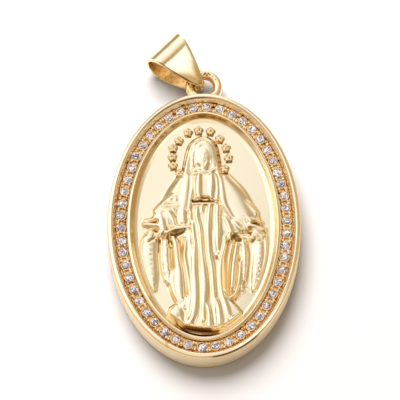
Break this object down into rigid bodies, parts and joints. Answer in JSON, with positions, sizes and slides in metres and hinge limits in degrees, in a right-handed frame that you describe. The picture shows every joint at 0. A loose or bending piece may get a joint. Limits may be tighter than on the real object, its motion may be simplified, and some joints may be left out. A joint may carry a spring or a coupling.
{
  "type": "religious medal pendant",
  "caption": "Oval devotional medal with a raised veiled figure, a border of small round stones, a soldered hanging ring and a tapered chain bail.",
  "frame": {"origin": "centre of the oval on the flat back face", "axes": "+Z out of the front face, +Y towards the hanging ring, +X to the right as seen from the front"},
  "size_m": [0.0188, 0.0351, 0.0038],
  "materials": {
    "cast_gold_tone": "pale gold plating, polished rims over a satin field",
    "clear_stones": "faceted clear round stones in bead prongs",
    "polished_gold_tone": "mirror-polished pale gold plating"
  },
  "bodies": {
    "root": {"medal": "cast_gold_tone", "stone_ring": "clear_stones", "bail": "polished_gold_tone"}
  },
  "joints": []
}
